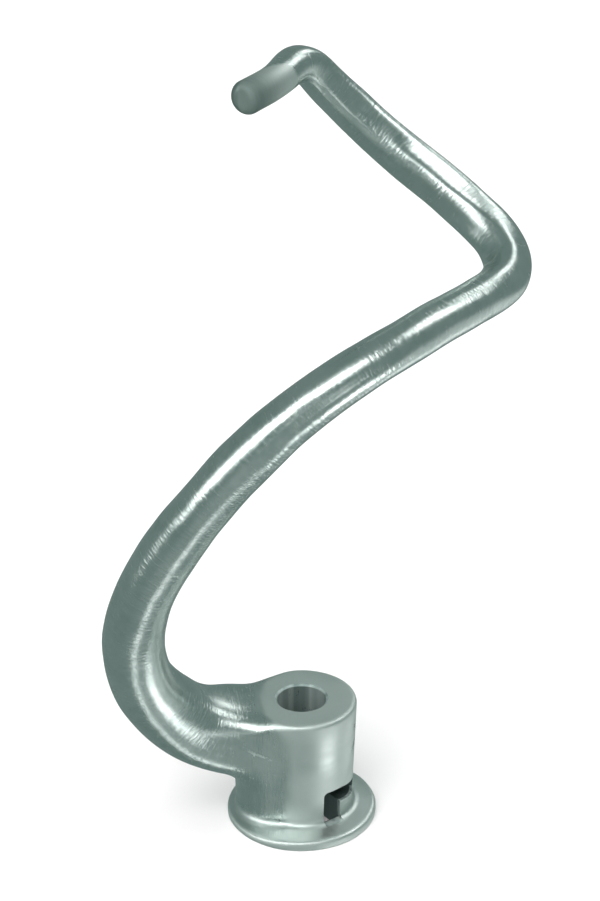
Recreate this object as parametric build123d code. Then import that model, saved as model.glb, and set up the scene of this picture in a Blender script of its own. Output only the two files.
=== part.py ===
from build123d import *

import os
from math import asin, cos, degrees, radians, sin

# A spiral dough hook for a planetary mixer, one aluminium casting. It stands on the flange of its hub,
# as on a bench: the origin is on the shaft's axis at the underside of the flange, Z runs up that axis,
# and the arm leaves the hub toward -X. Lengths are in millimetres and angles in degrees.

# Bore for a 3/4 inch mixer shaft, right through the hub
BORE_DIAMETER = 19.1
BORE_CHAMFER = 0.8

# Hub, a cone that widens a little toward its flat top
HUB_HEIGHT = 51.5
HUB_FOOT_RADIUS = 19.8
HUB_TOP_RADIUS = 21.5
HUB_BLANK_HEIGHT = 55.5
HUB_BLANK_ROUND = 2.0

# Flange at the foot of the hub, with a top that slopes up to the hub
FLANGE_RADIUS = 29.4
FLANGE_RIM = 3.8
FLANGE_CROWN = 5.4
FLANGE_LOWER_ROUND = 0.6
FLANGE_UPPER_ROUND = 1.6
FOOT_BLEND = 2.0

# Column that carries the arm's root down to the flange
COLUMN_RADIUS = 18.0
COLUMN_OFFSET = 8.0
COLUMN_TOP = 30.0

# Bayonet slots for a 1/4 inch cross pin in the shaft: up an entry leg, then down a locking leg
SLOT_COUNT = 2
ENTRY_BEARING = -53.0
ENTRY_WIDTH = 8.0
ENTRY_FLOOR = 5.2
SLOT_TOP = 19.4
LOCK_HEIGHT = 6.4
LOCK_TURN = 68.0
LOCK_SLOPE = 12.5
KEYWAY_RADIUS = 18.5
CUT_REACH = 26.0
CUT_PAST = 1.0

# Spiral arm: bearing round the shaft's axis, reach from the axis, height, and radius of the round bar
ARM_STATIONS = [
    (180, 0.0, 38.0, 17.4),
    (180, 14.0, 38.0, 17.1),
    (183, 26.0, 38.2, 16.5),
    (187, 39.0, 42.0, 15.1),
    (192, 51.5, 53.0, 13.9),
    (198, 62.5, 70.5, 12.5),
    (204, 68.0, 91.0, 11.6),
    (211, 69.0, 111.0, 11.1),
    (219, 67.5, 129.5, 10.7),
    (236, 64.0, 160.0, 10.0),
    (259, 60.5, 191.5, 9.4),
    (287, 58.0, 213.8, 8.5),
    (307, 56.5, 220.6, 8.1),
    (330, 58.5, 224.0, 8.0),
    (348, 65.0, 224.5, 8.1),
    (360, 71.5, 225.0, 8.4),
    (369, 75.0, 227.5, 8.8),
    (377, 74.5, 232.0, 8.8),
    (385, 71.0, 237.5, 8.7),
    (400, 61.0, 250.5, 8.6),
    (419, 51.5, 266.5, 8.4),
    (430, 47.5, 276.5, 8.0),
    (440, 43.5, 285.8, 7.6),
    (447, 39.5, 292.0, 7.3),
    (454, 34.0, 294.2, 6.8),
    (465, 27.0, 293.0, 6.4),
    (488, 21.0, 291.5, 6.3),
    (515, 20.5, 290.8, 6.3),
]
ARM_SECTIONS = 72
ROOT_SECTIONS = 12
TIP_LENGTH = 3.6
TIP_ROUND = 2.8

# The arm's root is ground flush with the hub's top, and the cut runs out in a hollow blend
ROOT_FLAT_REACH = 22.0
ROOT_FLAT_BLEND = 12.0
ROOT_CUT_DEPTH = 60.0
ROOT_CUT_HEIGHT = 30.0


def station_point(bearing, reach, height):
    return Vector(reach * cos(radians(bearing)), reach * sin(radians(bearing)), height)


def bar_radius(places, place):
    """The bar's radius at a place on its line, changing evenly from each station to the next."""
    radii = [radius for _, _, _, radius in ARM_STATIONS]
    for index in range(1, len(places)):
        if place < places[index]:
            share = (place - places[index - 1]) / (places[index] - places[index - 1])
            return radii[index - 1] + share * (radii[index] - radii[index - 1])
    return radii[-1]


def arm_sections():
    """Round sections square to a smooth line through the stations, evenly spaced from hub to tip."""
    points = [station_point(bearing, reach, height) for bearing, reach, height, _ in ARM_STATIONS]
    line = Edge.make_spline(points)
    places = [line.param_at_point(point) for point in points]
    side = Vector(0, 0, -1)
    sections = []
    for step in range(ARM_SECTIONS + 1):
        place = step / ARM_SECTIONS
        forward = line.tangent_at(place)
        side = (side - forward * side.dot(forward)).normalized()
        square_to_line = Plane(origin=line.position_at(place), x_dir=side, z_dir=forward)
        sections.append(square_to_line * Circle(bar_radius(places, place)))
    return sections


def spiral_bar(sections):
    """The bar from the arm's root to its tip, with the tip's edge rounded."""
    bar = loft(sections)
    end_centre = sections[-1].center()
    end_face = bar.faces().sort_by_distance(end_centre)[0]
    tip = extrude(end_face, TIP_LENGTH)
    tip_face = tip.faces().sort_by_distance(end_centre + end_face.normal_at() * TIP_LENGTH)[0]
    return bar + fillet(tip_face.edges(), TIP_ROUND)


def hub_and_flange():
    """The flange and the hub, turned from one profile, with stock left on the hub's top for grinding."""
    growth = (HUB_TOP_RADIUS - HUB_FOOT_RADIUS) / (HUB_HEIGHT - FLANGE_CROWN)
    blank_radius = HUB_FOOT_RADIUS + growth * (HUB_BLANK_HEIGHT - FLANGE_CROWN)
    outline = FilletPolyline(
        (0, 0),
        (FLANGE_RADIUS, 0),
        (FLANGE_RADIUS, FLANGE_RIM),
        (HUB_FOOT_RADIUS, FLANGE_CROWN),
        (blank_radius, HUB_BLANK_HEIGHT),
        (0, HUB_BLANK_HEIGHT),
        radius=[FLANGE_LOWER_ROUND, FLANGE_UPPER_ROUND, FOOT_BLEND, HUB_BLANK_ROUND],
    )
    axis_line = Line((0, HUB_BLANK_HEIGHT), (0, 0))
    return revolve(Plane.XZ * make_face([outline, axis_line]), Axis.Z)


def root_column():
    """The column under the arm's root, from inside the flange to inside the arm."""
    height = COLUMN_TOP - FLANGE_RIM / 2
    base = Plane((-COLUMN_OFFSET, 0, FLANGE_RIM / 2))
    return base * Cylinder(COLUMN_RADIUS, height, align=(Align.CENTER, Align.CENTER, Align.MIN))


def root_flat_cut():
    """What grinding takes off above the hub's top, with a round end toward the arm."""
    inner_end = -ROOT_FLAT_REACH - ROOT_FLAT_BLEND
    block = Pos(inner_end, 0, HUB_HEIGHT) * Box(
        FLANGE_RADIUS - inner_end, ROOT_CUT_DEPTH, ROOT_CUT_HEIGHT, align=(Align.MIN, Align.CENTER, Align.MIN)
    )
    lower_edge = block.faces().sort_by(Axis.X)[0].edges().sort_by(Axis.Z)[0]
    return fillet(lower_edge, ROOT_FLAT_BLEND)


def bayonet_slots():
    """The L-shaped slots for the cross pin, each with the keyway that lets the pin in from below."""
    entry = Pos(0, 0, ENTRY_FLOOR) * Box(CUT_REACH, ENTRY_WIDTH, SLOT_TOP - ENTRY_FLOOR,
                                         align=(Align.MIN, Align.CENTER, Align.MIN))
    keyway = Pos(0, 0, -CUT_PAST) * Box(KEYWAY_RADIUS, ENTRY_WIDTH, ENTRY_FLOOR + 2 * CUT_PAST,
                                        align=(Align.MIN, Align.CENTER, Align.MIN))
    leg_profile = Plane.XZ * (Pos(CUT_REACH / 2, 0) * Rectangle(CUT_REACH, LOCK_HEIGHT))
    leg = revolve(leg_profile, Axis.Z, LOCK_TURN)
    slope = Rot(Z=LOCK_TURN / 2) * Rot(X=-LOCK_SLOPE) * Rot(Z=-LOCK_TURN / 2)
    start = degrees(asin(ENTRY_WIDTH / 2 / HUB_FOOT_RADIUS))
    drop = HUB_FOOT_RADIUS * sin(radians(LOCK_TURN / 2)) * sin(radians(LOCK_SLOPE))
    leg = Pos(0, 0, SLOT_TOP - LOCK_HEIGHT / 2 - drop) * Rot(Z=-start) * slope * leg
    slot = Rot(Z=ENTRY_BEARING) * (entry + keyway + leg)
    return [Rot(Z=360 / SLOT_COUNT * index) * slot for index in range(SLOT_COUNT)]


def bore():
    """The shaft's bore, chamfered at both ends."""
    radius = BORE_DIAMETER / 2
    hole = Pos(0, 0, -CUT_PAST) * Cylinder(radius, HUB_HEIGHT + 2 * CUT_PAST,
                                           align=(Align.CENTER, Align.CENTER, Align.MIN))
    for height, rise in ((0, 1), (HUB_HEIGHT, -1)):
        wide = radius + BORE_CHAMFER + CUT_PAST
        outline = Polyline((0, height - rise * CUT_PAST), (wide, height - rise * CUT_PAST),
                           (radius, height + rise * BORE_CHAMFER), (0, height + rise * BORE_CHAMFER), close=True)
        hole += revolve(Plane.XZ * make_face(outline), Axis.Z)
    return hole


def hook_casting():
    """The whole casting: the root is trimmed and machined before the long bar is joined to it."""
    sections = arm_sections()
    root = loft(sections[: ROOT_SECTIONS + 1])
    blank = hub_and_flange() + root + root_column() - root_flat_cut()
    machined = blank - bayonet_slots() - bore()
    return machined + spiral_bar(sections[ROOT_SECTIONS:])


os.makedirs("parts", exist_ok=True)
export_step(hook_casting(), "parts/hook_casting.step")
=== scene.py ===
from math import cos, degrees, pi, radians, sin, tan

import bmesh
import bpy
import numpy as np
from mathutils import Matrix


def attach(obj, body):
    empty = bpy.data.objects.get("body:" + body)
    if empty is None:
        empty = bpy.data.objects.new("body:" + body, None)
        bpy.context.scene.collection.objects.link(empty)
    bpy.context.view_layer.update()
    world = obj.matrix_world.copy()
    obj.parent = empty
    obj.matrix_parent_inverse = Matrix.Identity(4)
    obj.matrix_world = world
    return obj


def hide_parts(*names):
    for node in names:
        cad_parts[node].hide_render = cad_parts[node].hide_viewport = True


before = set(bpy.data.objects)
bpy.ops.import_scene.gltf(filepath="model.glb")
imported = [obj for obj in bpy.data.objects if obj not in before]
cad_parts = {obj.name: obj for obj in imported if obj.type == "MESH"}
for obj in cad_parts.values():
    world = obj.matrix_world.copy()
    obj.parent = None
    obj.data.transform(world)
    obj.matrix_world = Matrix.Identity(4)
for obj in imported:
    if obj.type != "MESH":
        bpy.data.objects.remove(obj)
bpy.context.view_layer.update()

# A cast and ground aluminium dough hook. Its shape is worked out in millimetres, from the CAD's arm
# stations and driving dimensions with a few of them changed, and put into meshes in metres. The skin of
# the casting is the zero surface of a distance field, so the arm, hub, column and flange run into each
# other in fillets. The shaft's bore and the bayonet slots are then cut from it with crisp edges, as a
# machine cuts them.
#
# The origin is on the shaft's axis at the flange's underside, Z runs up that axis, and the arm leaves the
# hub toward -X. Angles are in degrees, except the phases of waves, which are in radians. A pair of numbers
# named as a span is where a change starts and where it ends.

MM = 0.001

# Spiral arm: bearing round the shaft's axis, reach from the axis, height, and radius of the bar
ARM_STATIONS = [
    (180, 0.0, 38.0, 17.4),
    (180, 14.0, 38.0, 17.1),
    (183, 26.0, 38.2, 16.5),
    (187, 39.0, 42.0, 15.1),
    (192, 51.5, 53.0, 13.9),
    (198, 62.5, 70.5, 12.5),
    (204, 68.0, 91.0, 11.6),
    (211, 69.0, 111.0, 11.1),
    (219, 67.5, 129.5, 10.7),
    (236, 64.0, 160.0, 10.0),
    (259, 60.5, 191.5, 9.4),
    (287, 58.0, 213.8, 8.5),
    (307, 56.5, 220.6, 8.1),
    (330, 58.5, 224.0, 8.0),
    (348, 65.0, 224.5, 8.1),
    (360, 71.5, 225.0, 8.4),
    (369, 75.0, 227.5, 8.8),
    (377, 74.5, 232.0, 8.8),
    (385, 71.0, 237.5, 8.7),
    (400, 61.0, 250.5, 8.6),
    (419, 51.5, 266.5, 8.4),
    (430, 47.5, 276.5, 8.0),
    (440, 43.5, 285.8, 7.6),
    (447, 39.5, 292.0, 7.3),
    (454, 34.0, 294.2, 6.8),
    (465, 27.0, 293.0, 6.4),
    (488, 21.0, 291.5, 6.3),
    (515, 20.5, 290.8, 6.3),
]
TIP_LENGTH = 3.6
TIP_ROUND = 3.0
# Toward the tip the arm is duller and painted darker as painted shade: where that starts before the arm's
# end, and where it is full past it
TIP_DULL_FROM = 20.0
TIP_DULL_PAST = 2.0

# Sections that are squarer than a circle: length along the arm, power of the section's curve (2 is
# round), and degrees that its faces are turned by. The root lies flush with the hub's top, and the upper
# arm is ground on four sides, which takes its corners no further out than a round bar.
UPPER_ARM_FROM = 318.0
ARM_SECTION_SHAPES = [
    (0.0, 3.0, 0.0),
    (24.0, 2.9, 0.0),
    (62.0, 2.0, 0.0),
    (UPPER_ARM_FROM, 2.0, 40.0),
    (340.0, 2.6, 40.0),
    (356.0, 3.3, 17.0),
    (372.0, 3.5, 2.0),
    (392.0, 3.5, -9.0),
    (404.0, 3.5, -11.0),
    (418.0, 3.2, -26.0),
    (452.0, 2.8, -26.0),
    (464.0, 2.2, -26.0),
    (474.0, 2.0, -26.0),
]

# Hand grinding leaves the bar slightly uneven: waves of a length, turns round the bar, and a size, and the
# phase from one wave to the next. It sets in past the root.
GRINDING_WAVES = [
    (83.0, 1, 0.07),
    (61.0, -2, 0.09),
    (43.0, 2, 0.08),
    (31.0, -1, 0.05),
    (23.0, 3, 0.035),
    (17.0, -2, 0.02),
    (12.5, 4, 0.012),
]
GRINDING_SPAN = (10.0, 60.0)
PHASE_STEP = 2.4

# Hub
BORE_RADIUS = 9.55
BORE_CHAMFER = 0.8
HUB_HEIGHT = 51.5
HUB_FOOT_RADIUS = 19.8
HUB_TOP_RADIUS = 21.5
HUB_TOP_ROUND = 2.0

# Flange, which droops a little under the arm and has slight waves from the casting: how many there are
# round the rim, their phase, and their size
FLANGE_RADIUS = 29.4
FLANGE_RIM = 3.8
FLANGE_CROWN = 5.4
FLANGE_UPPER_ROUND = 1.3
FLANGE_LOWER_ROUND = 0.8
FLANGE_DROOP = 0.9
DROOP_FROM = -6.0
CAST_WAVES = [(3, 0.7, 0.07), (7, 2.1, 0.05), (13, 0.0, 0.03)]
WAVE_ROOM = 0.15

# Column under the arm's root, and the root itself, ground flush with the hub's top
COLUMN_RADIUS = 18.2
COLUMN_OFFSET = 7.8
COLUMN_TOP = 34.0
ROOT_TOP_ROUND = 8.0
ROOT_ROUND_SPAN = (2.0, 24.0)
ROOT_FLAT_REACH = 15.0
ROOT_FLAT_BLEND = 17.0

# Widths over which neighbouring shapes run into each other, and how the arm's own end sinks into the hub
ARM_TO_HUB = 8.0
COLUMN_TO_HUB = 1.6
FLANGE_TO_HUB = 3.0
ARM_SINK = 9.0
ARM_SINK_SPAN = (-16.0, 4.0)

# Bayonet slots: an entry leg up from the flange, and a locking leg that falls away from its top
SLOT_BEARINGS = (-53.0, 127.0)
ENTRY_WIDTH = 8.0
ENTRY_FLOOR = 5.0
ENTRY_ROUND = 1.8
SLOT_TOP = 19.2
LOCK_HEIGHT = 6.4
LOCK_BELOW_TOP = 0.1
LOCK_SETBACK = 1.0
LOCK_TURN = 68.0
LOCK_SLOPE = 12.5
LOCK_END_TAPER = 0.96
LOCK_END_SHARE = 0.1
KEYWAY_RADIUS = 18.5
KEYWAY_BELOW = -3.0
KEYWAY_OVERLAP = 2.0
CUT_RINGS = (2.0, 9.0, 12.0, 14.5, 16.5, 17.8, 18.8, 26.0)
CUT_PAST = 1.0

# The grid that the skin is found on, and the parts of it that are worked out exactly
GRID_STEP = 0.78
GRID_MARGIN = 20.0
EXACT_WITHIN = 3.2
ROUGH_REACH = 4.0
HUB_ZONE_LOW = (-48.0, -33.0, -2.1)
HUB_ZONE_HIGH = (33.0, 33.0, 62.0)
HUB_BLENDS_BELOW = 75.0
HUB_BLENDS_WITHIN = 60.0
FAR = 50.0

# Step between the sample points on the arm's line, and the angle from which an edge is shaded as sharp
SAMPLE_STEP = 1.0
SHARP_EDGE = 38.0


# ---- the arm's line ------------------------------------------------------------------------------

def spline_bends(knots, values):
    """Second derivatives at the knots of the natural cubic spline through the values."""
    count = len(knots)
    spans = np.diff(knots)
    system = np.eye(count)
    right_side = np.zeros(values.shape)
    for i in range(1, count - 1):
        system[i, i - 1:i + 2] = spans[i - 1], 2 * (spans[i - 1] + spans[i]), spans[i]
        rise_after = (values[i + 1] - values[i]) / spans[i]
        rise_before = (values[i] - values[i - 1]) / spans[i - 1]
        right_side[i] = 6 * (rise_after - rise_before)
    return np.linalg.solve(system, right_side)


def arm_line():
    """The arm's stations as a spline over the length along it: columns x, y, z and radius."""
    rows = [(reach * cos(radians(bearing)), reach * sin(radians(bearing)), height, radius)
            for bearing, reach, height, radius in ARM_STATIONS]
    values = np.array(rows)
    chords = np.linalg.norm(np.diff(values[:, :3], axis=0), axis=1)
    knots = np.concatenate([[0.0], np.cumsum(chords)])
    return knots, values, spline_bends(knots, values)


KNOTS, STATION_VALUES, BENDS = arm_line()
ARM_LENGTH = KNOTS[-1]


def on_line(along):
    """Position with radius, and its derivative, at lengths along the arm."""
    i = np.clip(np.searchsorted(KNOTS, along, side="right") - 1, 0, len(KNOTS) - 2)
    span = (KNOTS[i + 1] - KNOTS[i])[:, None]
    after = ((along - KNOTS[i]) / span[:, 0])[:, None]
    before = 1 - after
    place = (before * STATION_VALUES[i] + after * STATION_VALUES[i + 1]
             + ((before ** 3 - before) * BENDS[i] + (after ** 3 - after) * BENDS[i + 1]) * span ** 2 / 6)
    slope = ((STATION_VALUES[i + 1] - STATION_VALUES[i]) / span
             + ((3 * after ** 2 - 1) * BENDS[i + 1] - (3 * before ** 2 - 1) * BENDS[i]) * span / 6)
    return place, slope


def directions(slope):
    return slope[:, :3] / np.linalg.norm(slope[:, :3], axis=1)[:, None]


def line_samples():
    """Points along the arm, with a side direction carried along without twist."""
    along = np.arange(0.0, ARM_LENGTH, SAMPLE_STEP)
    place, slope = on_line(along)
    forward = directions(slope)
    sides = np.zeros_like(forward)
    side = np.array([0.0, 0.0, 1.0])
    for i, ahead in enumerate(forward):
        side = side - ahead * side.dot(ahead)
        side /= np.linalg.norm(side)
        sides[i] = side
    return along, place[:, :3], sides


SAMPLE_ALONG, SAMPLE_PLACE, SAMPLE_SIDE = line_samples()


def nearest_along(points):
    """Length along the arm at the place on its line that is nearest to each point."""
    along = np.empty(len(points))
    squares = (SAMPLE_PLACE ** 2).sum(1)
    block = 20000
    for start in range(0, len(points), block):
        part = points[start:start + block]
        nearest = np.argmin(squares - 2 * part @ SAMPLE_PLACE.T, axis=1)
        along[start:start + block] = SAMPLE_ALONG[nearest]
    for _ in range(4):
        place, slope = on_line(along)
        step = ((points - place[:, :3]) * slope[:, :3]).sum(1) / (slope[:, :3] ** 2).sum(1)
        along = np.clip(along + step, 0, ARM_LENGTH)
    return along


def bar_coordinates(points):
    """Length along the arm, distance from its line, angle round it, and radius there, for each point."""
    along = nearest_along(points)
    place, slope = on_line(along)
    forward = directions(slope)
    offset = points - place[:, :3]
    past_end = np.where(along > ARM_LENGTH - 0.001, np.maximum((offset * forward).sum(1), 0), 0)
    offset = offset - forward * past_end[:, None]
    index = np.clip((along / SAMPLE_STEP).astype(int), 0, len(SAMPLE_SIDE) - 2)
    share = (along / SAMPLE_STEP - index)[:, None]
    side = SAMPLE_SIDE[index] * (1 - share) + SAMPLE_SIDE[index + 1] * share
    side = side - forward * (side * forward).sum(1)[:, None]
    side /= np.linalg.norm(side, axis=1)[:, None]
    other = np.cross(forward, side)
    distance = np.linalg.norm(offset, axis=1)
    angle = np.arctan2((offset * other).sum(1), (offset * side).sum(1))
    return along + past_end, distance, angle, place[:, 3]


# ---- distance fields -----------------------------------------------------------------------------

def smooth_least(a, b, width):
    """The lesser of two fields, with the join rounded over the width."""
    blend = np.maximum(width - np.abs(a - b), 0) / width
    return np.minimum(a, b) - blend ** 2 * width / 4


def smooth_most(a, b, width):
    return -smooth_least(-a, -b, width)


def ramp(value, low, high):
    """Runs smoothly from 0 at the low value to 1 at the high one."""
    share = np.clip((value - low) / (high - low), 0, 1)
    return share * share * (3 - 2 * share)


def unevenness(along, angle):
    total = np.zeros_like(along)
    for number, (length, turns, size) in enumerate(GRINDING_WAVES):
        total += size * np.sin(2 * pi * along / length + turns * angle + PHASE_STEP * number)
    return total


def arm_field(points):
    along, distance, angle, radius = bar_coordinates(points)
    lengths, powers, turns = np.array(ARM_SECTION_SHAPES).T
    power = np.interp(along, lengths, powers)
    face_angle = angle - np.radians(np.interp(along, lengths, turns))
    square = (np.abs(np.cos(face_angle)) ** power + np.abs(np.sin(face_angle)) ** power) ** (-1 / power)
    square *= np.where(along > UPPER_ARM_FROM, 2 ** (1 / power - 0.5), 1.0)
    side = distance - radius * square - unevenness(along, angle) * ramp(along, *GRINDING_SPAN)
    end = along - (ARM_LENGTH + TIP_LENGTH)
    corner_side = np.maximum(side + TIP_ROUND, 0)
    corner_end = np.maximum(end + TIP_ROUND, 0)
    outside = np.hypot(corner_side, corner_end) - TIP_ROUND
    return np.where(end > -TIP_ROUND, np.maximum(outside, side), side)


def hub_field(points):
    """The hub's cone, joined with the column under the arm's root."""
    x, y, z = points.T
    from_axis = np.hypot(x, y)
    growth = (HUB_TOP_RADIUS - HUB_FOOT_RADIUS) / (HUB_HEIGHT - FLANGE_CROWN)
    cone = from_axis - (HUB_FOOT_RADIUS + growth * (z - FLANGE_CROWN))
    column = np.hypot(x + COLUMN_OFFSET, y) - COLUMN_RADIUS
    column = np.maximum(column, z - COLUMN_TOP)
    return smooth_least(cone, column, COLUMN_TO_HUB)


def flange_field(points):
    x, y, z = points.T
    from_axis = np.hypot(x, y)
    bearing = np.arctan2(y, x)
    cast_wave = sum(size * np.sin(count * bearing + phase) for count, phase, size in CAST_WAVES)
    slope = (FLANGE_CROWN - FLANGE_RIM) / (FLANGE_RADIUS - HUB_FOOT_RADIUS)
    droop = FLANGE_DROOP * ramp(-x, DROOP_FROM, FLANGE_RADIUS)
    top = z - (FLANGE_RIM - droop + slope * (FLANGE_RADIUS - from_axis) + cast_wave)
    rim = from_axis - (FLANGE_RADIUS - WAVE_ROOM + cast_wave)
    return smooth_most(rim, top, FLANGE_UPPER_ROUND)


def top_field(points):
    """Above the ground top of the hub, which runs out upward along the arm's root."""
    x, _, z = points.T
    past = np.maximum(-x - ROOT_FLAT_REACH, 0)
    return z - HUB_HEIGHT - past ** 2 / (2 * ROOT_FLAT_BLEND)


def casting_field(points):
    """Distance in mm from the casting's skin, before it is machined. It is negative inside."""
    field = arm_field(points)
    near = (points[:, 2] < HUB_BLENDS_BELOW) & (np.hypot(points[:, 0], points[:, 1]) < HUB_BLENDS_WITHIN)
    if near.any():
        local = points[near]
        sunk_arm = field[near] + ARM_SINK * ramp(local[:, 0], *ARM_SINK_SPAN)
        low = smooth_least(hub_field(local), sunk_arm, ARM_TO_HUB)
        low = smooth_least(low, flange_field(local), FLANGE_TO_HUB)
        edge_round = HUB_TOP_ROUND + (ROOT_TOP_ROUND - HUB_TOP_ROUND) * ramp(-local[:, 0], *ROOT_ROUND_SPAN)
        low = smooth_most(low, top_field(local), edge_round)
        field[near] = smooth_most(low, -local[:, 2], FLANGE_LOWER_ROUND)
    return field


# ---- a mesh from the field -----------------------------------------------------------------------

def between(axis, low, high):
    return slice(np.searchsorted(axis, low), np.searchsorted(axis, high))


def rough_grid(axes):
    """About how far each grid point is from the arm's bar, and a large number away from it."""
    grid = np.full([len(axis) for axis in axes], FAR, dtype=np.float32)
    along = np.append(np.arange(0.0, ARM_LENGTH, 2.0), ARM_LENGTH)
    places, slopes = on_line(along)
    tip = places[-1] + slopes[-1] / np.linalg.norm(slopes[-1, :3]) * TIP_LENGTH * 0.5
    for x, y, z, radius in np.vstack([places, tip]):
        reach = radius + ROUGH_REACH
        cut = tuple(between(axis, c - reach, c + reach) for axis, c in zip(axes, (x, y, z)))
        away = np.sqrt((axes[0][cut[0], None, None] - x) ** 2 + (axes[1][None, cut[1], None] - y) ** 2
                       + (axes[2][None, None, cut[2]] - z) ** 2) - radius
        grid[cut] = np.minimum(grid[cut], away)
    return grid


def field_grid():
    """The grid's low corner, and the field on it: exact near the skin, and only rough elsewhere."""
    low = np.minimum((SAMPLE_PLACE - GRID_MARGIN).min(0), HUB_ZONE_LOW)
    high = np.maximum((SAMPLE_PLACE + GRID_MARGIN).max(0), HUB_ZONE_HIGH)
    low[2] = HUB_ZONE_LOW[2]
    counts = np.ceil((high - low) / GRID_STEP).astype(int) + 1
    axes = [low[i] + GRID_STEP * np.arange(counts[i]) for i in range(3)]
    grid = rough_grid(axes)
    exact = np.abs(grid) < EXACT_WITHIN
    exact[tuple(between(*sides) for sides in zip(axes, HUB_ZONE_LOW, HUB_ZONE_HIGH))] = True
    index = np.argwhere(exact)
    points = np.stack([axes[i][index[:, i]] for i in range(3)], axis=1)
    block = 200000
    grid[exact] = np.concatenate([casting_field(points[start:start + block])
                                  for start in range(0, len(points), block)])
    return low, grid


def surface_net(low, grid):
    """Quads between the cells that the skin passes through, each with one vertex."""
    inside = grid < 0
    shape = np.array(grid.shape)
    strides = np.array([shape[1] * shape[2], shape[2], 1])
    flat = grid.ravel()
    quads = []
    cells = []
    crossings = []
    for axis in range(3):
        ahead = [slice(None)] * 3
        ahead[axis] = slice(1, None)
        behind = [slice(None)] * 3
        behind[axis] = slice(None, -1)
        at = np.argwhere(inside[tuple(behind)] != inside[tuple(ahead)])
        here = flat[at @ strides]
        there = flat[at @ strides + strides[axis]]
        point = at.astype(float)
        point[:, axis] += here / (here - there)
        second, third = (axis + 1) % 3, (axis + 2) % 3
        around = []
        for step_second, step_third in ((1, 1), (0, 1), (0, 0), (1, 0)):
            cell = at.copy()
            cell[:, second] -= step_second
            cell[:, third] -= step_third
            around.append(cell @ strides)
            cells.append(around[-1])
            crossings.append(point)
        quad = np.stack(around, axis=1)
        leaving = here < 0
        quad[~leaving] = quad[~leaving][:, ::-1]
        quads.append(quad)
    crossings = np.concatenate(crossings)
    names, number = np.unique(np.concatenate(cells), return_inverse=True)
    totals = np.zeros((len(names), 3))
    for axis in range(3):
        totals[:, axis] = np.bincount(number, crossings[:, axis], len(names))
    vertices = totals / np.bincount(number)[:, None]
    faces = np.searchsorted(names, np.concatenate(quads))
    return low + vertices * GRID_STEP, faces


def settle(vertices):
    """Moves each vertex onto the skin, along the field's slope."""
    probe = 0.02
    longest_move = 0.5
    least_slope = 0.3
    for _ in range(3):
        value = casting_field(vertices)
        slope = np.empty_like(vertices)
        for axis in range(3):
            step = np.zeros(3)
            step[axis] = probe
            rise = casting_field(vertices + step) - casting_field(vertices - step)
            slope[:, axis] = rise / (2 * probe)
        length = np.maximum((slope ** 2).sum(1), least_slope)
        vertices = vertices - slope * (np.clip(value, -longest_move, longest_move) / length)[:, None]
    return vertices


def mesh_object(name, vertices_mm, faces):
    mesh = bpy.data.meshes.new(name)
    vertices = (np.asarray(vertices_mm) * MM).tolist()
    mesh.from_pydata(vertices, [], [list(map(int, face)) for face in faces])
    mesh.validate()
    piece = bpy.data.objects.new(name, mesh)
    bpy.context.scene.collection.objects.link(piece)
    return piece


# ---- machining -----------------------------------------------------------------------------------

def lathe_cutter(name, profile, segments=120):
    """A closed solid of revolution round the shaft's axis; the profile starts and ends on the axis."""
    vertices = [(0, 0, profile[0][1]), (0, 0, profile[-1][1])]
    rings = []
    for radius, height in profile[1:-1]:
        rings.append(list(range(len(vertices), len(vertices) + segments)))
        vertices += [(radius * cos(2 * pi * i / segments), radius * sin(2 * pi * i / segments), height)
                     for i in range(segments)]
    faces = []
    for i in range(segments):
        j = (i + 1) % segments
        faces.append((0, rings[0][j], rings[0][i]))
        faces.append((1, rings[-1][i], rings[-1][j]))
        for lower, upper in zip(rings, rings[1:]):
            faces.append((lower[i], lower[j], upper[j], upper[i]))
    return mesh_object(name, vertices, faces)


def prism_cutter(name, sections):
    """A closed solid through sections that have the same number of points, in order."""
    count = len(sections[0])
    vertices = [point for section in sections for point in section]
    faces = [list(range(count))[::-1], [(len(sections) - 1) * count + i for i in range(count)]]
    for level in range(len(sections) - 1):
        for i in range(count):
            j = (i + 1) % count
            start = level * count
            faces.append((start + i, start + j, start + count + j, start + count + i))
    return mesh_object(name, vertices, faces)


def turned(point, bearing):
    """The point, turned round the shaft's axis."""
    x, y, z = point
    c, s = cos(radians(bearing)), sin(radians(bearing))
    return (x * c - y * s, x * s + y * c, z)


def entry_cutter(bearing):
    """The upright leg, with rounded upper corners, from the bore out through the hub's wall."""
    half = ENTRY_WIDTH / 2
    corner_height = SLOT_TOP - ENTRY_ROUND
    outline = [(-half, ENTRY_FLOOR), (half, ENTRY_FLOOR)]
    for centre, first in ((half - ENTRY_ROUND, 0), (-half + ENTRY_ROUND, 90)):
        for angle in range(first, first + 91, 15):
            outline.append((centre + ENTRY_ROUND * cos(radians(angle)),
                            corner_height + ENTRY_ROUND * sin(radians(angle))))
    sections = [[turned((reach, across, height), bearing) for across, height in outline]
                for reach in CUT_RINGS]
    return prism_cutter("entry_cutter", sections)


def keyway_cutter(bearing):
    """The groove beside the bore that lets the cross pin in from below the flange."""
    half = ENTRY_WIDTH / 2
    inner = CUT_RINGS[0]
    corners = [(inner, -half), (KEYWAY_RADIUS, -half), (KEYWAY_RADIUS, half), (inner, half)]
    sections = [[turned((x, y, height), bearing) for x, y in corners]
                for height in (KEYWAY_BELOW, ENTRY_FLOOR + KEYWAY_OVERLAP)]
    return prism_cutter("keyway_cutter", sections)


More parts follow.
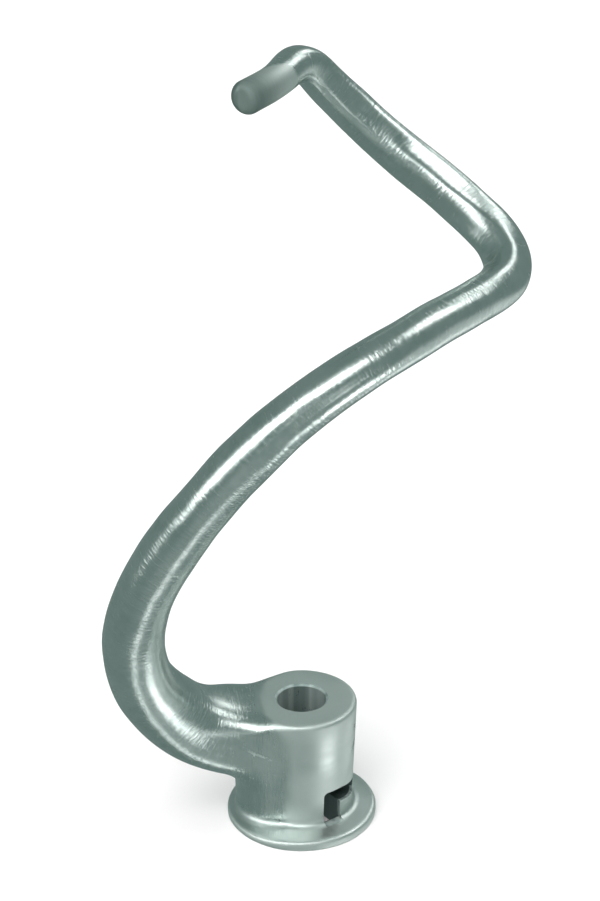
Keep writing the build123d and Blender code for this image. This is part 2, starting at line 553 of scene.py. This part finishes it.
def lock_cutter(bearing):
    """The leg that the cross pin turns into: it falls past the entry leg, round the shaft's axis."""
    half_entry = degrees(ENTRY_WIDTH / 2 / HUB_FOOT_RADIUS)
    steps = 24
    sections = []
    for step in range(steps + 1):
        turn = LOCK_SETBACK - half_entry + (LOCK_TURN - LOCK_SETBACK) * step / steps
        fall = HUB_FOOT_RADIUS * radians(max(0.0, turn - half_entry)) * tan(radians(LOCK_SLOPE))
        centre = SLOT_TOP - LOCK_HEIGHT / 2 - fall - LOCK_BELOW_TOP
        from_middle = abs(2 * step / steps - 1)
        into_end = max(0.0, from_middle - (1 - LOCK_END_SHARE)) / LOCK_END_SHARE
        half = LOCK_HEIGHT / 2 - LOCK_END_TAPER * into_end
        lower = [(reach, centre - half) for reach in CUT_RINGS]
        upper = [(reach, centre + half) for reach in reversed(CUT_RINGS)]
        sections.append([turned((reach, 0, height), bearing + turn) for reach, height in lower + upper])
    return prism_cutter("lock_cutter", sections)


def bore_cutter():
    """The shaft's bore, chamfered at both ends."""
    wide = BORE_RADIUS + BORE_CHAMFER + CUT_PAST
    wall = [(BORE_RADIUS, height) for height in np.linspace(BORE_CHAMFER, HUB_HEIGHT - BORE_CHAMFER, 18)]
    top = HUB_HEIGHT + CUT_PAST
    return lathe_cutter("bore_cutter", [(0, -CUT_PAST), (wide, -CUT_PAST), *wall, (wide, top), (0, top)])


def face_outward(mesh):
    work = bmesh.new()
    work.from_mesh(mesh)
    bmesh.ops.recalc_face_normals(work, faces=work.faces)
    work.to_mesh(mesh)
    work.free()


def cut_away(piece, cutters):
    """Takes the cutters out of the piece, and removes them."""
    for cutter in cutters:
        face_outward(cutter.data)
        step = piece.modifiers.new(cutter.name, "BOOLEAN")
        step.operation = "DIFFERENCE"
        step.solver = "EXACT"
        step.object = cutter
    bpy.context.view_layer.update()
    ready = piece.evaluated_get(bpy.context.evaluated_depsgraph_get())
    mesh = bpy.data.meshes.new_from_object(ready)
    piece.modifiers.clear()
    piece.data = mesh
    for cutter in cutters:
        bpy.data.objects.remove(cutter)


# ---- how the surface was worked, and where shade is painted, stored for the material -------------

# Depths under the casting's skin that count as machined, for a point and for a whole face
CUT_POINT_SPAN = (0.12, 0.4)
CUT_FACE_SPAN = (0.03, 0.10)

# Deep in the slots and low in the bore, painted near black as painted shade: distance in from the hub's
# side, and height
DEEP_SPAN = (0.2, 1.6)
DEEP_HEIGHT_SPAN = (20.0, 24.0)

# The hub's side is turned where it is clear of the arm, the column and the flange
CLEAR_OF_ARM_SPAN = (1.0, 5.0)
HUB_RADIUS_SPAN = (22.0, 23.5)
HUB_BASE_SPAN = (5.5, 7.5)
COLUMN_SPAN = (2.0, 9.0)
COLUMN_HEIGHT_SPAN = (30.0, 44.0)

# The hub's top is turned too, and that fades out along the root
TOP_DEPTH_SPAN = (0.05, 0.4)
TOP_FADE_SPAN = (-26.0, -4.0)

# The flange's rim is turned, and its cast top is duller than the arm, where 1 is a turned face
FLANGE_HEIGHT_SPAN = (6.0, 8.0)
RIM_SPAN = (FLANGE_RADIUS - 0.9, FLANGE_RADIUS - 0.5)
FLANGE_TOP_SPAN = (HUB_FOOT_RADIUS, HUB_FOOT_RADIUS + 2)
FLANGE_DULLNESS = 0.45

# The crease where the flange meets the hub, where its colour is darkened as painted shade
CREASE_WIDTH = 2.2
CREASE_BELOW = 12


def coordinates(items, name):
    """What each vertex or face has under a name of three numbers, in mm."""
    values = np.empty(len(items) * 3)
    items.foreach_get(name, values)
    return values.reshape(-1, 3) / MM


def store(mesh, domain, **values):
    for name, value in values.items():
        mesh.attributes.new(name, "FLOAT", domain).data.foreach_set("value", value.astype(float))


def share_turned(points, hub, arm):
    """How far each point was turned on a lathe, from 0 to 1, rather than ground by hand."""
    x, y, z = points.T
    from_axis = np.hypot(x, y)
    side = ramp(arm - hub, *CLEAR_OF_ARM_SPAN) * (1 - ramp(from_axis, *HUB_RADIUS_SPAN))
    side *= ramp(z, *HUB_BASE_SPAN)
    side *= 1 - ramp(-x, *COLUMN_SPAN) * (1 - ramp(z, *COLUMN_HEIGHT_SPAN))
    top = (1 - ramp(np.abs(z - HUB_HEIGHT), *TOP_DEPTH_SPAN)) * ramp(x, *TOP_FADE_SPAN)
    low = 1 - ramp(z, *FLANGE_HEIGHT_SPAN)
    flange = np.maximum(ramp(from_axis, *RIM_SPAN), ramp(from_axis, *FLANGE_TOP_SPAN) * FLANGE_DULLNESS)
    return np.clip(side + top + flange * low, 0, 1)


def mark_points(mesh):
    """Stores where each point lies on the bar, unrolled along it, how it was worked, and its painted shade.
    """
    points = coordinates(mesh.vertices, "co")
    along, distance, angle, _ = bar_coordinates(points)
    unrolled = np.stack([along, distance * np.cos(angle), distance * np.sin(angle)], axis=1) * MM
    mesh.attributes.new("bar_space", "FLOAT_VECTOR", "POINT").data.foreach_set("vector", unrolled.ravel())
    hub = hub_field(points)
    uncut = 1 - ramp(-casting_field(points), *CUT_POINT_SPAN)
    in_crease = np.exp(-np.abs(flange_field(points) - hub) / CREASE_WIDTH)
    store(mesh, "POINT",
          turned=share_turned(points, hub, arm_field(points)) * uncut,
          crease=in_crease * (points[:, 2] < CREASE_BELOW),
          unground=ramp(along, ARM_LENGTH - TIP_DULL_FROM, ARM_LENGTH + TIP_DULL_PAST))


def mark_cuts(mesh):
    """Stores, face by face, what a machine has cut, and which of it lies inside the hub, low down, with
    painted shade.
    """
    centres = coordinates(mesh.polygons, "center")
    cut = ramp(-casting_field(centres), *CUT_FACE_SPAN)
    depth = HUB_FOOT_RADIUS - np.hypot(centres[:, 0], centres[:, 1])
    deep = cut * ramp(depth, *DEEP_SPAN) * (1 - ramp(centres[:, 2], *DEEP_HEIGHT_SPAN))
    store(mesh, "FACE", cut=cut, deep=deep)


def hook():
    low, grid = field_grid()
    vertices, faces = surface_net(low, grid)
    piece = mesh_object("ground_hook", settle(vertices), faces)
    cutters = [bore_cutter()]
    for bearing in SLOT_BEARINGS:
        cutters += [entry_cutter(bearing), keyway_cutter(bearing), lock_cutter(bearing)]
    cut_away(piece, cutters)
    piece.data.name = "ground_hook"
    piece.data.shade_smooth()
    piece.data.set_sharp_from_angle(angle=radians(SHARP_EDGE))
    mark_points(piece.data)
    mark_cuts(piece.data)
    return piece


# ---- materials -----------------------------------------------------------------------------------

# Tones of the metal, and of the floor
GROUND_TONES = ((0.54, 0.61, 0.585), (0.63, 0.685, 0.66))
PATCH_TONE = (0.70, 0.74, 0.72)
TURNED_TONE = (0.72, 0.765, 0.74)
# Painted shade in the crease where the flange meets the hub
CREASE_SHADE_TONE = (0.36, 0.42, 0.40)
# Machined faces, in the bore and slots: darker than the metal as painted shade, streaked at random between
# two tones
SHADED_BORE_TONES = ((0.21, 0.27, 0.255), (0.50, 0.57, 0.55))
# Painted shade toward the tip
TIP_SHADE_TONE = (0.27, 0.335, 0.315)
# Painted shade inside the slots and low in the bore
SLOT_SHADE_TONE = (0.05, 0.075, 0.07)
FLOOR_TONE = (0.93, 0.885, 0.89)

# Noise, in waves per metre along each axis; the strokes' axes are along the bar and across it twice
STROKES = (950, 170, 170)
FINE_STROKES = (2500, 420, 420)
GRAIN = (2600, 2600, 2600)
BLOTCHES = (55, 55, 55)
PATCHES = (240, 240, 240)
BORE_STREAKS = (230, 230, 5)

# Depth of the strokes and the grain in metres, and how much of the strokes is left where nothing was
# ground
STROKE_DEPTH = 0.00016
FINE_STROKE_DEPTH = 0.00008
GRAIN_DEPTH = 0.000012
STROKES_LEFT = 0.08
FINE_STROKES_LEFT = 0.10

# Roughness of ground metal, what grain and other kinds of surface add to it, and how metallic a cut face
# is
GROUND_ROUGHNESS = (0.12, 0.22)
GRAIN_ROUGHNESS = 0.10
CREASE_ROUGHNESS = 0.10
TURNED_ROUGHNESS = 0.33
CUT_ROUGHNESS = 0.10
TIP_ROUGHNESS = 0.24
CUT_METALLIC = 0.55


def node(tree, kind, **settings):
    made = tree.nodes.new(kind)
    for name, value in settings.items():
        setattr(made, name, value)
    return made


def attribute(tree, name, output="Fac"):
    return node(tree, "ShaderNodeAttribute", attribute_name=name).outputs[output]


def noise(tree, vector, scales, detail):
    """Noise stretched by a scale per axis, in waves per metre."""
    mapping = node(tree, "ShaderNodeMapping")
    mapping.inputs["Scale"].default_value = scales
    tree.links.new(vector, mapping.inputs["Vector"])
    texture = node(tree, "ShaderNodeTexNoise")
    texture.inputs["Scale"].default_value = 1.0
    texture.inputs["Detail"].default_value = detail
    texture.inputs["Roughness"].default_value = 0.55
    tree.links.new(mapping.outputs["Vector"], texture.inputs["Vector"])
    return texture.outputs["Fac"]


def put(tree, value, socket):
    """Sets a socket to a number, or links it to another node's output."""
    if isinstance(value, (int, float)):
        socket.default_value = value
    else:
        tree.links.new(value, socket)


def maths(tree, operation, *values):
    made = node(tree, "ShaderNodeMath", operation=operation)
    for socket, value in zip(made.inputs, values):
        put(tree, value, socket)
    return made.outputs[0]


def remap(tree, value, low, high, to_low, to_high):
    made = node(tree, "ShaderNodeMapRange")
    for name, number in (("From Min", low), ("From Max", high), ("To Min", to_low), ("To Max", to_high)):
        made.inputs[name].default_value = number
    tree.links.new(value, made.inputs["Value"])
    return made.outputs["Result"]


def mix_colour(tree, share, first, second):
    made = node(tree, "ShaderNodeMix", data_type="RGBA")
    tree.links.new(share, made.inputs["Factor"])
    for socket, value in ((made.inputs[6], first), (made.inputs[7], second)):
        if isinstance(value, tuple):
            socket.default_value = (*value, 1.0)
        else:
            tree.links.new(value, socket)
    return made.outputs[2]


def bump(tree, height, distance, strength, under=None):
    made = node(tree, "ShaderNodeBump")
    made.inputs["Distance"].default_value = distance
    put(tree, strength, made.inputs["Strength"])
    tree.links.new(height, made.inputs["Height"])
    if under is not None:
        tree.links.new(under, made.inputs["Normal"])
    return made.outputs["Normal"]


def ground_aluminium():
    """Cast aluminium, ground by hand across the bar, tumbled bright, turned on the hub; shade is painted
    into it.
    """
    material = bpy.data.materials.new("ground_aluminium")
    material.use_nodes = True
    tree = material.node_tree
    shader = tree.nodes["Principled BSDF"]
    along_bar = attribute(tree, "bar_space", "Vector")
    place = node(tree, "ShaderNodeTexCoord").outputs["Object"]
    turned_share = attribute(tree, "turned")
    cut = attribute(tree, "cut")
    crease = attribute(tree, "crease")
    deep = attribute(tree, "deep")
    unground = attribute(tree, "unground")

    strokes = noise(tree, along_bar, STROKES, 3.0)
    fine_strokes = noise(tree, along_bar, FINE_STROKES, 3.0)
    grain = noise(tree, place, GRAIN, 2.0)
    blotches = noise(tree, place, BLOTCHES, 3.0)
    patches = noise(tree, place, PATCHES, 3.0)
    bore_streaks = noise(tree, place, BORE_STREAKS, 1.5)

    tone = mix_colour(tree, remap(tree, blotches, 0.35, 0.65, 0, 1), *GROUND_TONES)
    tone = mix_colour(tree, remap(tree, patches, 0.4, 0.75, 0, 0.5), tone, PATCH_TONE)
    tone = mix_colour(tree, remap(tree, turned_share, 0, 1, 0, 0.8), tone, TURNED_TONE)
    # Painted shade: darker in the crease where the flange meets the hub
    tone = mix_colour(tree, remap(tree, crease, 0.2, 1, 0, 0.35), tone, CREASE_SHADE_TONE)
    # Painted shade: machined faces take a darker tone, streaked at random
    shaded_bore_tone = mix_colour(tree, remap(tree, bore_streaks, 0.38, 0.62, 0, 1), *SHADED_BORE_TONES)
    tone = mix_colour(tree, cut, tone, shaded_bore_tone)
    # Painted shade: darker toward the tip
    tone = mix_colour(tree, remap(tree, unground, 0, 1, 0, 0.9), tone, TIP_SHADE_TONE)
    # Painted shade: near black on machined faces inside the slots and low in the bore
    tone = mix_colour(tree, remap(tree, deep, 0, 1, 0, 0.92), tone, SLOT_SHADE_TONE)
    tree.links.new(tone, shader.inputs["Base Color"])

    tree.links.new(remap(tree, cut, 0, 1, 1.0, CUT_METALLIC), shader.inputs["Metallic"])

    rough = remap(tree, strokes, 0.3, 0.7, *GROUND_ROUGHNESS)
    additions = ((grain, GRAIN_ROUGHNESS), (crease, CREASE_ROUGHNESS), (turned_share, TURNED_ROUGHNESS),
                 (cut, CUT_ROUGHNESS), (unground, TIP_ROUGHNESS))
    for share, added in additions:
        rough = maths(tree, "MULTIPLY_ADD", share, added, rough)
    tree.links.new(rough, shader.inputs["Roughness"])

    ground = maths(tree, "SUBTRACT", 1.0, maths(tree, "MAXIMUM", turned_share, cut))
    broad = bump(tree, strokes, STROKE_DEPTH, remap(tree, ground, 0, 1, STROKES_LEFT, 1.0))
    fine_left = remap(tree, ground, 0, 1, FINE_STROKES_LEFT, 1.0)
    fine = bump(tree, fine_strokes, FINE_STROKE_DEPTH, fine_left, broad)
    tree.links.new(bump(tree, grain, GRAIN_DEPTH, 1.0, fine), shader.inputs["Normal"])
    return material


def floor_material():
    material = bpy.data.materials.new("pale_floor")
    material.use_nodes = True
    shader = material.node_tree.nodes["Principled BSDF"]
    shader.inputs["Base Color"].default_value = (*FLOOR_TONE, 1)
    shader.inputs["Roughness"].default_value = 0.9
    shader.inputs["Specular IOR Level"].default_value = 0.1
    return material


# ---- studio --------------------------------------------------------------------------------------

# Camera, in metres and degrees, aimed at the middle of the hook from the front
CAMERA_DISTANCE = 0.99
CAMERA_ELEVATION = 34.5
CAMERA_PITCH = 26.27
CAMERA_YAW = 0.04
CAMERA_LENS = 98.86
CAMERA_SENSOR = 36.0

# A broad light that whitens the floor, and isn't reflected in the metal
FLOOR_LIGHT = 2.2
FLOOR_LIGHT_WIDTH = 75
FLOOR_LIGHT_TILT = (24, -16)
FLOOR_HALF = 60000.0

# Soft boxes and white cards round the hook: bearing from the front toward the right, height above the
# horizon, and half width, in degrees, then brightness. Their edges are soft by a share of that width.
SOFT_BOXES = [
    (-68, 2, 11, 2.6),
    (-56, 12, 12, 2.6),
    (-42, 24, 12, 2.6),
    (-27, 36, 12, 2.6),
    (-10, 46, 12, 2.4),
    (10, 51, 12, 2.2),
    (-26, 60, 9, 0.8),
    (102, 50, 12, 3.2),
    (146, 35, 8, 2.6),
    (5, -70, 6, 1.9),
    (40, -62, 8, 0.4),
    (60, -44, 10, 3.0),
    (62, -28, 6, 0.6),
    (30, -11, 5, 2.0),
    (118, -47, 7, 1.0),
    (128, -32, 14, 0.4),
    (18, 3, 8, 0.6),
    (-12, 3, 7, 0.6),
    (95, -36, 24, 0.32),
    (-5, -38, 26, 0.12),
]
ROOM_TONE = (0.205, 0.272, 0.258)
BOX_EDGE = 0.45


def camera():
    """Looks down on the hook from the front, with the flange low in the picture."""
    data = bpy.data.cameras.new("camera")
    data.lens = CAMERA_LENS
    data.sensor_width = CAMERA_SENSOR
    data.sensor_fit = "AUTO"
    view = bpy.data.objects.new("camera", data)
    rise = radians(CAMERA_ELEVATION)
    view.location = (0, -CAMERA_DISTANCE * cos(rise), CAMERA_DISTANCE * sin(rise))
    view.rotation_euler = (radians(90 - CAMERA_PITCH), 0, radians(CAMERA_YAW))
    bpy.context.scene.collection.objects.link(view)
    bpy.context.scene.camera = view


def towards(bearing, height):
    across, up = radians(bearing), radians(height)
    return sin(across) * cos(up), -cos(across) * cos(up), sin(up)


def soft_box(tree, direction, bearing, height, half_width, brightness):
    """The light that one box sends from a direction, with a soft edge."""
    facing = node(tree, "ShaderNodeVectorMath", operation="DOT_PRODUCT")
    facing.inputs[1].default_value = towards(bearing, height)
    tree.links.new(direction, facing.inputs[0])
    box = node(tree, "ShaderNodeMapRange", interpolation_type="SMOOTHSTEP")
    box.inputs["From Min"].default_value = cos(radians(half_width * (1 + BOX_EDGE)))
    box.inputs["From Max"].default_value = cos(radians(half_width * (1 - BOX_EDGE)))
    box.inputs["To Min"].default_value = 0.0
    box.inputs["To Max"].default_value = brightness
    tree.links.new(facing.outputs["Value"], box.inputs["Value"])
    return box.outputs["Result"]


def studio_world():
    """A grey-green room with soft boxes and cards, all of them far from the hook."""
    world = bpy.data.worlds.new("studio")
    world.use_nodes = True
    tree = world.node_tree
    direction = node(tree, "ShaderNodeTexCoord").outputs["Generated"]
    total = soft_box(tree, direction, *SOFT_BOXES[0])
    for box in SOFT_BOXES[1:]:
        total = maths(tree, "ADD", total, soft_box(tree, direction, *box))
    room = node(tree, "ShaderNodeVectorMath", operation="ADD")
    room.inputs[1].default_value = ROOM_TONE
    tree.links.new(total, room.inputs[0])
    tree.links.new(room.outputs["Vector"], tree.nodes["Background"].inputs["Color"])
    bpy.context.scene.world = world


def floor_light():
    data = bpy.data.lights.new("overhead", "SUN")
    data.energy = FLOOR_LIGHT
    data.angle = radians(FLOOR_LIGHT_WIDTH)
    lamp = bpy.data.objects.new("overhead", data)
    lamp.rotation_euler = (*map(radians, FLOOR_LIGHT_TILT), 0)
    lamp.visible_glossy = False
    bpy.context.scene.collection.objects.link(lamp)


def floor():
    corners = [(-FLOOR_HALF, -FLOOR_HALF, 0), (FLOOR_HALF, -FLOOR_HALF, 0),
               (FLOOR_HALF, FLOOR_HALF, 0), (-FLOOR_HALF, FLOOR_HALF, 0)]
    plane = mesh_object("floor", corners, [(0, 1, 2, 3)])
    plane.data.materials.append(floor_material())
    plane.visible_glossy = False


# ---- the scene -----------------------------------------------------------------------------------

piece = hook()
piece.data.materials.clear()
piece.data.materials.append(ground_aluminium())
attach(piece, "root")
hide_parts("hook_casting")
floor()
camera()
studio_world()
floor_light()
bpy.context.scene.view_settings.view_transform = "Standard"
